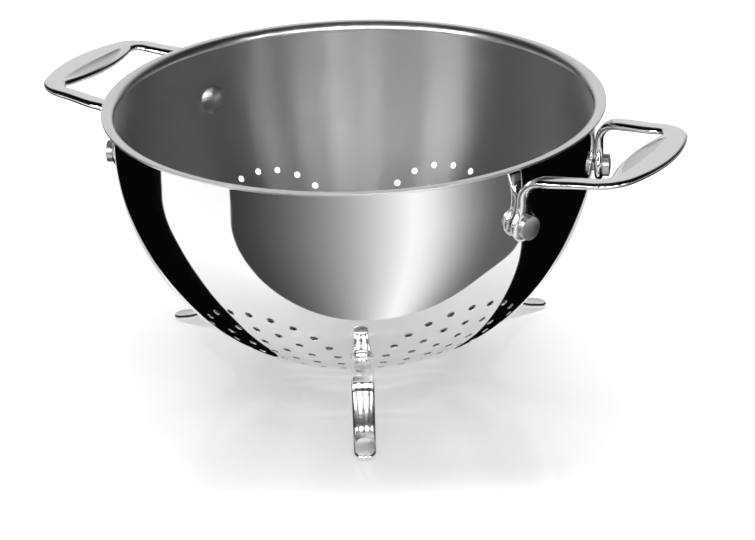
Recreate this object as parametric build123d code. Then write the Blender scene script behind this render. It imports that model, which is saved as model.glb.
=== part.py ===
from build123d import *
from math import acos, asin, atan2, cos, hypot, pi, radians, sin, sqrt, tan
import os

# Two-handled colander of pressed and polished stainless steel.
# Origin at the centre of the floor plane, +Z up, +X through one handle.

# Bowl
wall = 1.2
inner_radius = 120.0
outer_radius = inner_radius + wall
lip_top = 143.7
lip_width = 5.3
lip_bend = 4.0
lip_edge_round = 0.3
belly_radius = 116.3
belly_top = 124.0
base_height = 15.0
base_blend = 20.0

# Drain holes, in six equal petals of nested arches above columns
petals = 6
hole_diameter = 3.6
hole_pitch = 11.4
arch_step = 12.0
first_arch_depth = 57.1
arch_half_angles = (22.4, 14.0, 6.6, 0.0)
arch_turn_step = 0.25
column_step = 0.1
arch_heights = (38.5, 22.5, 10.0, 0.0)
lowest_hole_depth = 129.0
base_rings = 3
first_petal_angle = 30.0

# Handles, cast, one at +X and one at -X
handle_angles = {"right_handle": 0.0, "left_handle": 180.0}
rivet_half_angle = 20.5
rivet_height = 112.0
tab_radius = 7.9
tab_flank_angle = 40.0
neck_width = 7.2
neck_lap = 0.7
handle_top = 137.8
handle_thickness = 4.2
handle_bend = 12.5
grip_tilt = 4.6
grip_under_tilt = 5.9
grip_span = 51.8
grip_arc = 92.0
grip_half_width = 44.8
grip_corner = 20.0
grip_width = 22.6
window_bow_radius = 115.0
window_half_width = 34.8
window_corner = 4.5
arm_blend_run = 5.8
arm_blend_half = 42.0
arm_blend_width = 10.0
handle_round = 1.4
dish_length = 55.0
dish_inner_bulge = 6.4
dish_outer_bulge = 1.7
dish_rim = 2.0
dish_depth = 0.8
dish_taper = 40.0

# Rivets, one solid each: domed head inside, upset button outside
shank_diameter = 6.0
shank_clearance = 0.1
head_diameter = 15.5
head_height = 3.6
head_edge = 0.8
button_diameter = 11.5
button_height = 3.7
button_crown = 0.7

# Legs, three cast straps on curved pads
leg_angles = {"rear_leg": 60.0, "left_leg": 180.0, "front_leg": 300.0}
leg_width_top = 11.6
leg_width_toe = 11.2
leg_thickness = 3.6
leg_crown = 0.6
pad_top_angle = 41.5
pad_bottom_angle = 49.0
pad_thickness = 2.6
knee_bend = 9.0
toe_inset = 4.6
toe_thickness = 2.4
toe_slope = 14.0
ankle_bend = 24.0
toe_run = 11.1
toe_dish_length = 13.2
toe_dish_width = 11.4
toe_dish_depth = 1.0
toe_rim = 1.4

# Fits
seat_gap = 0.05
overrun = 1.0

neck_height = handle_top - handle_bend + neck_lap
grip_reach = outer_radius + grip_span
window_edge = grip_reach - grip_width
arm_blend_x = outer_radius + arm_blend_run
toe_reach = outer_radius - toe_inset
ankle_reach = toe_reach - toe_run

lip_radius = outer_radius + lip_width
lip_outer_bend = lip_bend - wall
lip_bend_centre = (outer_radius + lip_outer_bend, lip_top - lip_bend)
belly_centre = (outer_radius - belly_radius, belly_top)
blend_span = belly_radius - base_blend
blend_drop = belly_top - base_height - base_blend
base_flat_radius = belly_centre[0] + sqrt(blend_span**2 - blend_drop**2)
blend_centre = (base_flat_radius, base_height + base_blend)
blend_angle = asin(blend_drop / blend_span)


def on_circle(centre, radius, angle):
    """Point of a profile circle, the angle in radians below the horizontal."""
    return (centre[0] + radius * cos(angle), centre[1] - radius * sin(angle))


def profile_arc(centre, radius, start, end):
    """Arc of the bowl's section between two angles below the horizontal."""
    middle = (start + end) / 2
    points = [on_circle(centre, radius, angle) for angle in (start, middle, end)]
    return ThreePointArc(*[(r, 0, z) for r, z in points])


def skin_lines(inset):
    """Section of the bowl from the axis to the lip, moved in from the outer skin."""
    bottom = base_height + inset
    wall_radius = outer_radius - inset
    bend_top = lip_top - wall + inset
    start = (0, 0, bottom)
    flat_end = (base_flat_radius, 0, bottom)
    blend = profile_arc(blend_centre, base_blend - inset, pi / 2, blend_angle)
    belly = profile_arc(belly_centre, belly_radius - inset, blend_angle, 0)
    wall_line = Line((wall_radius, 0, belly_top), (wall_radius, 0, lip_bend_centre[1]))
    bend = profile_arc(lip_bend_centre, lip_outer_bend + inset, -pi, -pi / 2)
    lip = Line((lip_bend_centre[0], 0, bend_top), (lip_radius, 0, bend_top))
    return [Line(start, flat_end), blend, belly, wall_line, bend, lip]


def bowl_body():
    """Bowl turned from its section, before any hole."""
    outer = skin_lines(0)
    inner = skin_lines(wall)
    edge = Line((lip_radius, 0, lip_top - wall), (lip_radius, 0, lip_top))
    axis = Line((0, 0, base_height + wall), (0, 0, base_height))
    section = make_face(outer + [edge] + inner + [axis])
    body = revolve(section, Axis.Z)
    rim = body.edges().filter_by(GeomType.CIRCLE).filter_by(
        lambda line: abs(line.radius - lip_radius) < seat_gap
    )
    return fillet(rim, lip_edge_round)


def skin_place(depth):
    """Radius, height and slope of the outer skin at a depth along the belly."""
    angle = depth / belly_radius
    radius, height = on_circle(belly_centre, belly_radius, angle)
    return radius, height, angle


def arch_places(half_angle, height, top_depth):
    """Hole places of one arch and its columns, marched at the hole pitch."""
    places = [(0.0, top_depth)]
    turn = 0.0
    azimuth, depth = 0.0, top_depth
    foot_depth = top_depth + height
    while True:
        last_azimuth, last_depth = places[-1]
        while True:
            if turn < pi / 2 and half_angle > 0:
                turn += radians(arch_turn_step)
                azimuth = half_angle * sin(turn)
                depth = top_depth + height * (1 - cos(turn))
            else:
                depth = max(depth, foot_depth) + column_step
                azimuth = half_angle
            radius = skin_place(depth)[0]
            across = radians(azimuth - last_azimuth) * radius
            if hypot(across, depth - last_depth) >= hole_pitch:
                break
        if depth > lowest_hole_depth:
            break
        places.append((azimuth, depth))
    mirrored = [(-a, d) for a, d in places if a > 0]
    return places + mirrored


def hole_tools():
    """Drills for the petals of the belly and the rings of the base."""
    tools = []
    drill_length = 2 * (wall + overrun)
    for petal in range(petals):
        centre_angle = first_petal_angle + petal * 360 / petals
        for index, half_angle in enumerate(arch_half_angles):
            top_depth = first_arch_depth + index * arch_step
            for azimuth, depth in arch_places(half_angle, arch_heights[index], top_depth):
                radius, height, angle = skin_place(depth)
                turn = radians(centre_angle + azimuth)
                normal = (cos(turn) * cos(angle), sin(turn) * cos(angle), -sin(angle))
                centre = (radius * cos(turn), radius * sin(turn), height)
                plane = Plane(origin=centre, z_dir=normal)
                tools.append(plane * Cylinder(hole_diameter / 2, drill_length))
    for ring in range(base_rings + 1):
        for spoke in range(max(1, petals * ring)):
            turn = 2 * pi * spoke / max(1, petals * ring)
            place = Pos(ring * hole_pitch * cos(turn), ring * hole_pitch * sin(turn), base_height)
            tools.append(place * Cylinder(hole_diameter / 2, drill_length))
    return tools


def rivet_angles():
    """Directions of the four rivets round the bowl, by name."""
    right = handle_angles["right_handle"]
    left = handle_angles["left_handle"]
    return {
        "right_front_rivet": right - rivet_half_angle,
        "right_rear_rivet": right + rivet_half_angle,
        "left_front_rivet": left + rivet_half_angle,
        "left_rear_rivet": left - rivet_half_angle,
    }


def radial_plane(angle, height):
    """Plane whose normal points out from the bowl's axis at a height."""
    turn = radians(angle)
    out = (cos(turn), sin(turn), 0)
    return Plane(origin=(0, 0, height), x_dir=(-sin(turn), cos(turn), 0), z_dir=out)


def shank_bore(angle):
    """Drill for one rivet's shank, from inside the bowl to outside the tab."""
    start = inner_radius - 2 * wall
    length = outer_radius + handle_thickness + overrun - start
    bore = Cylinder(
        (shank_diameter + shank_clearance) / 2, length, align=(Align.CENTER, Align.CENTER, Align.MIN)
    )
    return radial_plane(angle, rivet_height) * Pos(0, 0, start) * bore


def make_bowl():
    bores = [shank_bore(angle) for angle in rivet_angles().values()]
    return bowl_body() - (hole_tools() + bores)


def skin_core(offset):
    """Solid inside the bowl's outer skin, grown outward by an offset, up past the lip."""
    centre_r = belly_centre[0]
    bottom = belly_top - belly_radius - offset
    wall_radius = outer_radius + offset
    core_top = lip_top + overrun
    section = make_face([
        Line((0, 0, bottom), (centre_r, 0, bottom)),
        profile_arc(belly_centre, belly_radius + offset, pi / 2, 0),
        Line((wall_radius, 0, belly_top), (wall_radius, 0, core_top)),
        Line((wall_radius, 0, core_top), (0, 0, core_top)),
        Line((0, 0, core_top), (0, 0, bottom)),
    ])
    return revolve(section, Axis.Z)


def grip_height(radius):
    """Height of a handle's top face, which rises outward from the bend."""
    tilt = radians(grip_tilt)
    bend_radius = outer_radius + seat_gap + handle_bend
    rise = (radius - bend_radius + handle_bend * sin(tilt)) * tan(tilt)
    return handle_top - handle_bend + handle_bend * cos(tilt) + rise


def strip_section():
    """Section of a handle's metal: up the wall, round the bend, out to the grip."""
    back = outer_radius + seat_gap
    bend_centre = (back + handle_bend, handle_top - handle_bend)
    inner_bend = handle_bend - handle_thickness
    reach = grip_reach + overrun
    front = back + handle_thickness
    start = bend_centre[1] - overrun
    top_turn = -pi / 2 - radians(grip_tilt)
    under_turn = -pi / 2 - radians(grip_under_tilt)
    top_start = on_circle(bend_centre, handle_bend, top_turn)
    low_start = on_circle(bend_centre, inner_bend, under_turn)
    top_end = grip_height(reach)
    low_end = low_start[1] + (reach - low_start[0]) * tan(radians(grip_under_tilt))
    back_line = Line((back, 0, start), (back, 0, bend_centre[1]))
    back_arc = profile_arc(bend_centre, handle_bend, -pi, top_turn)
    top_line = Line((top_start[0], 0, top_start[1]), (reach, 0, top_end))
    end_line = Line((reach, 0, top_end), (reach, 0, low_end))
    low_line = Line((reach, 0, low_end), (low_start[0], 0, low_start[1]))
    front_arc = profile_arc(bend_centre, inner_bend, under_turn, -pi)
    front_line = Line((front, 0, bend_centre[1]), (front, 0, start))
    foot_line = Line((front, 0, start), (back, 0, start))
    return make_face(
        [back_line, back_arc, top_line, end_line, low_line, front_arc, front_line, foot_line]
    )


def handle_plan():
    """Plan of the two arms and the grip, seen from above."""
    turn = radians(rivet_half_angle)
    neck_radius = outer_radius - overrun
    neck = (neck_radius * cos(turn), neck_radius * sin(turn))
    across = (-sin(turn) * neck_width / 2, cos(turn) * neck_width / 2)
    along = (cos(turn), sin(turn))
    neck_out = (neck[0] + across[0], neck[1] + across[1])
    neck_in = (neck[0] - across[0], neck[1] - across[1])
    blend_out = (arm_blend_x, arm_blend_half + arm_blend_width / 2)
    blend_in = (arm_blend_x, arm_blend_half - arm_blend_width / 2)
    arc_centre = grip_reach - grip_arc
    corner_y = grip_half_width - grip_corner
    corner_x = arc_centre + sqrt((grip_arc - grip_corner) ** 2 - corner_y**2)
    touch = atan2(corner_y, corner_x - arc_centre)
    corner_start = (corner_x, grip_half_width)
    out_side = Spline([neck_out, blend_out, corner_start], tangents=[along, (1, 0)])
    corner_mid_turn = (touch + pi / 2) / 2
    corner_mid = (
        corner_x + grip_corner * cos(corner_mid_turn),
        corner_y + grip_corner * sin(corner_mid_turn),
    )
    corner_end = (arc_centre + grip_arc * cos(touch), grip_arc * sin(touch))
    bow_centre = window_edge + window_bow_radius
    window_y = window_half_width - window_corner
    centre_gap = window_bow_radius + window_corner
    window_x = bow_centre - sqrt(centre_gap**2 - window_y**2)
    bow_turn = asin(window_y / centre_gap)
    bow_corner = (
        bow_centre - window_bow_radius * cos(bow_turn),
        window_bow_radius * sin(bow_turn),
    )
    window_mid_turn = (pi / 2 - bow_turn) / 2
    window_mid = (
        window_x + window_corner * cos(window_mid_turn),
        window_y + window_corner * sin(window_mid_turn),
    )
    arm_in_end = (window_x, window_half_width)
    in_side = Spline([neck_in, blend_in, arm_in_end], tangents=[along, (1, 0)])
    half = [
        out_side,
        ThreePointArc(corner_start, corner_mid, corner_end),
        in_side,
        ThreePointArc(arm_in_end, window_mid, bow_corner),
        Line(neck_in, neck_out),
    ]
    other = [edge.mirror(Plane.XZ) for edge in half]
    grip = ThreePointArc(corner_end, (grip_reach, 0), (corner_end[0], -corner_end[1]))
    bow = ThreePointArc(bow_corner, (window_edge, 0), (bow_corner[0], -bow_corner[1]))
    return make_face(half + other + [grip, bow])


def tab_plan():
    """Outline of one riveted tab, round below and narrowing to the neck."""
    half_neck = neck_width / 2
    rise = neck_height - rivet_height
    flank = radians(tab_flank_angle)
    side = (tab_radius * cos(flank), tab_radius * sin(flank))
    lean = (-sin(flank), cos(flank))
    right = Spline([side, (half_neck, rise)], tangents=[lean, (0, 1)])
    left = Spline([(-side[0], side[1]), (-half_neck, rise)], tangents=[(-lean[0], lean[1]), (0, 1)])
    foot = ThreePointArc(side, (0, -tab_radius), (-side[0], side[1]))
    head = Line((half_neck, rise), (-half_neck, rise))
    return make_face([right, left, foot, head])


def follows_outline(edge):
    """True for an edge to be rounded: not the cut foot and not a corner of the plan."""
    start, end = edge @ 0, edge @ 1
    foot = handle_top - handle_bend - overrun
    on_foot = max(start.Z, end.Z, (edge @ 0.5).Z) < foot + seat_gap
    beyond_bend = hypot(start.X, start.Y) > outer_radius + handle_bend
    upright = hypot(start.X - end.X, start.Y - end.Y) < seat_gap
    return not on_foot and not (upright and beyond_bend)


def make_strip():
    """Arms and grip: the bent strip cut to its plan, with rounded edges."""
    plan = extrude(handle_plan(), grip_height(grip_reach) + overrun)
    strip = revolve(strip_section(), Axis.Z) & plan
    return fillet(strip.edges().filter_by(follows_outline), handle_round)


def make_tab(angle):
    """Tab of a handle, rounded in front and shaped to the bowl behind."""
    front = outer_radius + seat_gap + handle_thickness
    plate = radial_plane(angle, rivet_height) * extrude(tab_plan(), front + overrun)
    tab = plate & Cylinder(front, 2 * lip_top)
    tab = tab - skin_core(seat_gap)
    rim = tab.edges().filter_by(
        lambda edge: abs(hypot((edge @ 0.5).X, (edge @ 0.5).Y) - front) < seat_gap
        and (edge @ 0.5).Z < neck_height - seat_gap
    )
    return fillet(rim, handle_round)


def dish_tool():
    """Almond cutter for the thumb dish in the top of the grip, fuller on the bowl's side."""
    half = dish_length / 2
    outline = make_face([
        ThreePointArc((0, -half), (dish_outer_bulge, 0), (0, half)),
        ThreePointArc((0, half), (-dish_inner_bulge, 0), (0, -half)),
    ])
    cut = extrude(outline, -dish_depth, taper=dish_taper) + extrude(outline, overrun)
    tips = window_edge + dish_rim + dish_inner_bulge
    return Pos(tips, 0, grip_height(tips)) * Rot(0, -grip_tilt, 0) * cut


def make_handle(angle):
    """Whole handle: strip, two tabs, thumb dish and rivet holes."""
    handle = make_strip()
    for side in (-1, 1):
        handle += make_tab(side * rivet_half_angle)
    handle -= dish_tool()
    for side in (-1, 1):
        handle -= shank_bore(side * rivet_half_angle)
    return Rot(0, 0, angle) * handle


def make_rivet(angle):
    """Rivet with a domed head on the inner wall and a button over the tab."""
    head_seat = inner_radius - seat_gap
    button_seat = outer_radius + handle_thickness + 2 * seat_gap
    shank_end = button_seat + button_height / 2
    head_rise = head_height - head_edge
    dome_radius = (head_rise**2 + (head_diameter / 2) ** 2) / (2 * head_rise)
    low = (Align.CENTER, Align.CENTER, Align.MIN)
    crown_radius = (button_crown**2 + (button_diameter / 2) ** 2) / (2 * button_crown)

    dome = Pos(0, 0, head_seat - head_height + dome_radius) * Sphere(dome_radius)
    puck = Pos(0, 0, head_seat - head_height) * Cylinder(
        head_diameter / 2, head_height + overrun, align=low
    )
    inside = radial_plane(angle, rivet_height) * (dome & puck)
    inside = inside & skin_core(-wall - seat_gap)

    face = button_seat + button_height
    crown = Pos(0, 0, face - crown_radius) * Sphere(crown_radius)
    disc = Pos(0, 0, button_seat - overrun) * Cylinder(
        button_diameter / 2, button_height + overrun, align=low
    )
    button = radial_plane(angle, rivet_height) * (crown & disc)
    button = button - Cylinder(button_seat, 2 * lip_top)

    shank = Pos(0, 0, head_seat - head_edge) * Cylinder(
        shank_diameter / 2, shank_end - head_seat + head_edge, align=low
    )
    return inside + button + radial_plane(angle, rivet_height) * shank


def strap_lines():
    """Outer face of a leg in its upright plane: pad, knee, strap, ankle and toe."""
    pad_radius = belly_radius + pad_thickness
    pad_top = radians(pad_top_angle)
    pad_foot = radians(pad_bottom_angle)
    knee = on_circle(belly_centre, pad_radius + knee_bend, pad_foot)
    slope = radians(toe_slope)
    ankle_foot = (ankle_reach, toe_thickness + (toe_reach - ankle_reach) * tan(slope))
    ankle = (ankle_foot[0] + ankle_bend * sin(slope), ankle_foot[1] + ankle_bend * cos(slope))
    span = (ankle[0] - knee[0], ankle[1] - knee[1])
    lean = acos((ankle_bend - knee_bend) / hypot(*span)) + atan2(span[1], span[0])
    strap_top = on_circle(knee, knee_bend, pi - lean)
    strap_foot = on_circle(ankle, ankle_bend, pi - lean)
    return [
        profile_arc(belly_centre, pad_radius, pad_top, pad_foot),
        profile_arc(knee, knee_bend, pad_foot + pi, pi - lean),
        Line((strap_top[0], 0, strap_top[1]), (strap_foot[0], 0, strap_foot[1])),
        profile_arc(ankle, ankle_bend, pi - lean, pi / 2 + slope),
        Line((ankle_foot[0], 0, ankle_foot[1]), (toe_reach, 0, toe_thickness)),
    ]


def leg_outline():
    """Front outline of a leg, wider at the toe and round at the top of its pad."""
    toe_half = leg_width_toe / 2
    top_half = leg_width_top / 2
    top = on_circle(belly_centre, belly_radius, radians(pad_top_angle))[1]
    shoulder = top - top_half * cos(radians(pad_top_angle))
    return make_face([
        Line((-toe_half, 0), (toe_half, 0)),
        Line((toe_half, 0), (top_half, shoulder)),
        ThreePointArc((top_half, shoulder), (0, top), (-top_half, shoulder)),
        Line((-top_half, shoulder), (-toe_half, 0)),
    ])


def leg_section():
    """Section of the strap, flat on the back with a crowned face."""
    half = leg_width_toe / 2 + overrun
    return make_face([
        ThreePointArc((-half, -leg_crown), (0, 0), (half, -leg_crown)),
        Line((half, -leg_crown), (half, -leg_thickness)),
        Line((half, -leg_thickness), (-half, -leg_thickness)),
        Line((-half, -leg_thickness), (-half, -leg_crown)),
    ])


def toe_dish_tool():
    """Spindle cutter that leaves a shallow oval dish on the toe."""
    half_width = toe_dish_width / 2
    half_length = toe_dish_length / 2
    girth = (half_width**2 + toe_dish_depth**2) / (2 * toe_dish_depth)
    sweep_radius = (half_length**2 + toe_dish_depth**2) / (2 * toe_dish_depth)
    tip = sqrt(sweep_radius**2 - (sweep_radius - girth) ** 2)
    half_section = make_face([
        ThreePointArc((-tip, 0, 0), (0, 0, -girth), (tip, 0, 0)),
        Line((tip, 0, 0), (-tip, 0, 0)),
    ])
    spindle = revolve(half_section, Axis.X)
    slope = radians(toe_slope)
    middle = toe_reach - toe_rim - half_length * cos(slope)
    height = toe_thickness + (toe_reach - middle) * tan(slope)
    lift = girth - toe_dish_depth
    place = Pos(middle + lift * sin(slope), 0, height + lift * cos(slope))
    return place * Rot(0, toe_slope, 0) * spindle


def make_leg(angle):
    """Leg swept along its strap line, trimmed to its outline, floor and pad seat."""
    path = Wire(strap_lines())
    start = path @ 0
    along = path % 0
    plane = Plane(origin=start, x_dir=(0, 1, 0), z_dir=along)
    strap = sweep(plane * leg_section(), path=path)
    outline = Plane(origin=(overrun, 0, 0), x_dir=(0, 1, 0), z_dir=(1, 0, 0)) * leg_outline()
    strap = strap & extrude(outline, toe_reach + overrun)
    toe_half = leg_width_toe / 2
    round_end = Pos(toe_reach - toe_half, 0, 0) * Cylinder(toe_half, 2 * lip_top)
    inward = Pos(toe_reach - toe_half, 0, 0) * Box(
        toe_reach, 2 * toe_half, 2 * lip_top, align=(Align.MAX, Align.CENTER, Align.CENTER)
    )
    strap = strap & (round_end + inward)
    strap = strap - toe_dish_tool()
    return Rot(0, 0, angle) * (strap - skin_core(seat_gap))


pieces = {"bowl": make_bowl()}
for node, angle in handle_angles.items():
    pieces[node] = make_handle(angle)
for node, angle in rivet_angles().items():
    pieces[node] = make_rivet(angle)
for node, angle in leg_angles.items():
    pieces[node] = make_leg(angle)

os.makedirs("parts", exist_ok=True)
for node, piece in pieces.items():
    export_step(piece, f"parts/{node}.step")
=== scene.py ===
# %% [markdown]
# # A colander of polished steel
# The object is a bowl pressed from one round sheet, with two cast handles on two
# rivets each and three cast legs welded underneath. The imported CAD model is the
# frame for everything below, so each piece that is made here goes where the
# solids say, and nothing has to be fitted by eye.

# %% Load the frame
from math import acos, asin, atan2, cos, degrees, hypot, pi, radians, sin, sqrt

import bmesh
import bpy
import numpy as np
from mathutils import Matrix, Vector
from mathutils.geometry import delaunay_2d_cdt


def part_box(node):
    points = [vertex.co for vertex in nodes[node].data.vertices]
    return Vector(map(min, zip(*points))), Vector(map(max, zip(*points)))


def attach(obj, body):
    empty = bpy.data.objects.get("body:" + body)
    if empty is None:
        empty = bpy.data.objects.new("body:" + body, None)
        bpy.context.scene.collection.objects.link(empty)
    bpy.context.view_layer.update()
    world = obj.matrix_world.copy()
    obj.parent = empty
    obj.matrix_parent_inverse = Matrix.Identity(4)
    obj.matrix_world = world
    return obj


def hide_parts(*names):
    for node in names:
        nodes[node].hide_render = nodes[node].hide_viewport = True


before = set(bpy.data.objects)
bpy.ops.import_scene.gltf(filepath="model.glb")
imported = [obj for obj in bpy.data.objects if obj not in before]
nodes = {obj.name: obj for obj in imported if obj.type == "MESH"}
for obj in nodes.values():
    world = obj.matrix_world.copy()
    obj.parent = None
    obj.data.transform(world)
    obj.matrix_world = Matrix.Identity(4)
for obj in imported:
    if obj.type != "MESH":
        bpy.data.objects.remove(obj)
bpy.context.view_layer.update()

mm = 0.001
print("nodes in the frame:", ", ".join(sorted(nodes)))

# %% [markdown]
# ## Camera
# The photograph was taken with a long lens from about 25 degrees above the floor,
# 30 degrees to the right of the object's front. A long lens keeps the rim's ellipse
# even and the legs upright. The camera looks at a point on the bowl's axis just above
# the floor, and leans by less than two degrees, as the photograph does.

# %% Camera
camera_place = Vector((0.60163, -1.04205, 0.58319))
camera_aim = Vector((0.0, 0.01928, 0.04196))
camera_lean = radians(-1.704)
lens_mm = 121.4
sensor_mm = 36.0


def new_object(name, data):
    """An object made of that data, put in the scene."""
    thing = bpy.data.objects.new(name, data)
    bpy.context.scene.collection.objects.link(thing)
    return thing


camera_data = bpy.data.cameras.new("camera")
camera_data.lens = lens_mm
camera_data.sensor_width = sensor_mm
camera = new_object("camera", camera_data)
looking = (camera_aim - camera_place).to_track_quat("-Z", "Y").to_matrix()
turned = looking @ Matrix.Rotation(camera_lean, 3, "Z")
camera.matrix_world = Matrix.Translation(camera_place) @ turned.to_4x4()
bpy.context.scene.camera = camera
studio_turn = atan2(camera_place.x, -camera_place.y)
print("camera stands", round(degrees(studio_turn), 1), "degrees round from the front")

# %% [markdown]
# ## Node helpers
# Every finish below is a small graph of shader nodes. A few helpers keep the graphs
# short: one starts a material, one adds a node, sets its values and joins its inputs,
# and the others add the sums, turns and ramps that come up again and again.

# %% Node helpers
def new_material(name):
    """A material and its empty graph."""
    material = bpy.data.materials.new(name)
    material.use_nodes = True
    material.node_tree.nodes.clear()
    return material, material.node_tree


def add(tree, kind, inputs=None, **values):
    """A node of that kind; inputs are numbers, colours or other nodes' outputs."""
    node = tree.nodes.new("ShaderNode" + kind)
    for name, value in values.items():
        setattr(node, name, value)
    for key, value in (inputs or {}).items():
        if isinstance(value, bpy.types.NodeSocket):
            tree.links.new(value, node.inputs[key])
        else:
            node.inputs[key].default_value = value
    return node


def grey(level):
    """A grey as a colour."""
    return (level, level, level, 1)


def math(tree, operation, a, b):
    """The result of one sum."""
    return add(tree, "Math", {0: a, 1: b}, operation=operation).outputs[0]


def height_and_turn(tree, place):
    """Height of a place, and its turn about the upright axis from the camera's side."""
    parts = add(tree, "SeparateXYZ", {0: place}).outputs
    ahead = math(tree, "MULTIPLY", parts["Y"], -1.0)
    return parts["Z"], math(tree, "ARCTAN2", parts["X"], ahead)


def ramp(tree, factor, stops):
    """A colour ramp in greys, straight between (place, level) stops."""
    node = add(tree, "ValToRGB", {"Fac": factor})
    node.color_ramp.interpolation = "LINEAR"
    elements = node.color_ramp.elements
    while len(elements) < len(stops):
        elements.new(0.5)
    for element, (place, level) in zip(elements, stops):
        element.position = place
        element.color = grey(level)
    return node.outputs["Color"]

# %% [markdown]
# ## Floor and world
# The ground is white glazed board: bright, with a soft shadow and a weak reflection
# of the bowl in it. The white of the picture is the floor's own colour. Camera rays
# and the mirror's rays see a little more of it, so that it stays white all round.

# %% World
soft_fill, white = 0.4, 1.0


def seen_directly(tree):
    """1 for a ray from the camera, from a mirror or through clear stuff, else 0."""
    path = add(tree, "LightPath").outputs
    seen = math(tree, "MAXIMUM", path["Is Camera Ray"], path["Is Glossy Ray"])
    return math(tree, "MAXIMUM", seen, path["Is Transmission Ray"])


world = bpy.data.worlds.new("white_room")
world.use_nodes = True
bpy.context.scene.world = world
sky = world.node_tree
sky.nodes.clear()
level = add(sky, "MapRange", {"Value": seen_directly(sky), "To Min": soft_fill, "To Max": white})
room = add(sky, "Background", {"Color": (1, 1, 1, 1), "Strength": level.outputs[0]})
add(sky, "OutputWorld", {"Surface": room.outputs[0]})

# %% Floor
floor_half = 3.0
floor_level, floor_roughness, glaze_ior = 0.9, 0.12, 1.45
floor_lift = 0.28

bm = bmesh.new()
bmesh.ops.create_grid(bm, x_segments=1, y_segments=1, size=floor_half)
floor_mesh = bpy.data.meshes.new("floor")
bm.to_mesh(floor_mesh)
bm.free()
floor = new_object("floor", floor_mesh)

board, tree = new_material("glazed_board")
lift = math(tree, "MULTIPLY", seen_directly(tree), floor_lift)
paint = add(tree, "BsdfPrincipled", {
    "Base Color": grey(floor_level), "Roughness": floor_roughness, "IOR": glaze_ior,
    "Emission Color": (1, 1, 1, 1), "Emission Strength": lift,
})
add(tree, "OutputMaterial", {"Surface": paint.outputs[0]})
floor_mesh.materials.append(board)

# %% [markdown]
# ## Lamp
# One wide, shallow lamp hangs over the bowl and a little behind it, so the soft shadow
# falls towards the camera. It is hidden from the mirror, which has its own cards.

# %% Lamp
lamp_wide, lamp_deep = 3.0, 0.5
lamp_behind, lamp_height = 0.3, 1.6
lamp_watts = 37.0

lamp_data = bpy.data.lights.new("overhead", "AREA")
lamp_data.shape = "RECTANGLE"
lamp_data.size = lamp_wide
lamp_data.size_y = lamp_deep
lamp_data.energy = lamp_watts
lamp = new_object("overhead", lamp_data)
lamp_place = Matrix.Rotation(studio_turn, 3, "Z") @ Vector((0.0, lamp_behind, lamp_height))
lamp_aim = (-lamp_place).to_track_quat("-Z", "Y").to_matrix().to_4x4()
lamp.matrix_world = Matrix.Translation(lamp_place) @ lamp_aim
lamp.visible_glossy = False

# %% [markdown]
# ## Studio cards
# Polished steel has no look of its own: it shows what stands around it. A studio
# sets cards round such a bowl: black ones at both sides draw its outline, a shaded
# one in front gives the middle its roundness, and a light grey one lies behind. The
# cards here lie on the ground, where this bowl's belly looks, and only the mirror
# sees them.

# %% Cards
card_rise = 0.4 * mm
curve_steps = 12
studio = Matrix.Rotation(studio_turn, 4, "Z")


def only_in_mirrors(thing):
    """Hides a studio piece from every ray but a mirror's."""
    for ray in ("camera", "diffuse", "transmission", "volume_scatter", "shadow"):
        setattr(thing, "visible_" + ray, False)


def card(name, corners, material):
    """A flat card on the ground with a smooth outline, seen only in reflections."""
    curve_data = bpy.data.curves.new(name, "CURVE")
    curve_data.dimensions = "2D"
    curve_data.fill_mode = "BOTH"
    curve_data.resolution_u = curve_steps
    spline = curve_data.splines.new("BEZIER")
    spline.bezier_points.add(len(corners) - 1)
    for point, (x, y) in zip(spline.bezier_points, corners):
        point.co = (x * mm, y * mm, 0)
        point.handle_left_type = point.handle_right_type = "AUTO"
    spline.use_cyclic_u = True
    outline = new_object(name + "_outline", curve_data)
    mesh = bpy.data.meshes.new_from_object(outline)
    bpy.data.objects.remove(outline)
    mesh.name = name
    for face in mesh.polygons:
        if face.normal.z < 0:
            face.flip()
    mesh.materials.clear()
    mesh.materials.append(material)
    thing = new_object(name, mesh)
    thing.matrix_world = studio @ Matrix.Translation((0, 0, card_rise))
    only_in_mirrors(thing)
    print(name, "has", len(mesh.polygons), "faces")
    return thing


def card_material(name, colour):
    """Shines upward with a colour or with what a shade adds, and is clear from below."""
    material, tree = new_material(name)
    glow = add(tree, "Emission", {"Color": colour(tree) if callable(colour) else colour})
    clear = add(tree, "BsdfTransparent")
    side = add(tree, "NewGeometry").outputs["Backfacing"]
    mix = add(tree, "MixShader", {0: side, 1: glow.outputs[0], 2: clear.outputs[0]})
    add(tree, "OutputMaterial", {"Surface": mix.outputs[0]})
    return material

# %% [markdown]
# The shaded card's grey turns about a point in front of the bowl. It climbs slowly from
# the dark left to its brightest, right of the middle, and falls off softly to the far
# right. The levels are what the steel is to show, of 255, and the card is brighter by
# the steel's share.

# %% The shade of the front card
fan_centre = (0.0, -70.0)
fan_left, fan_peak, fan_right = -60, 26, 74
fan_dark, fan_bright, fan_dim = 60, 250, 95
fan_steps, climb_power = 8, 1.3
steel_share = 0.8
display_gamma = 2.2


def fan_stop(turn, shown):
    """Place on the ramp and the card's level for a turn in degrees and a grey of 255."""
    place = (turn - fan_left) / (fan_right - fan_left)
    return place, (shown / 255) ** display_gamma / steel_share


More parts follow.
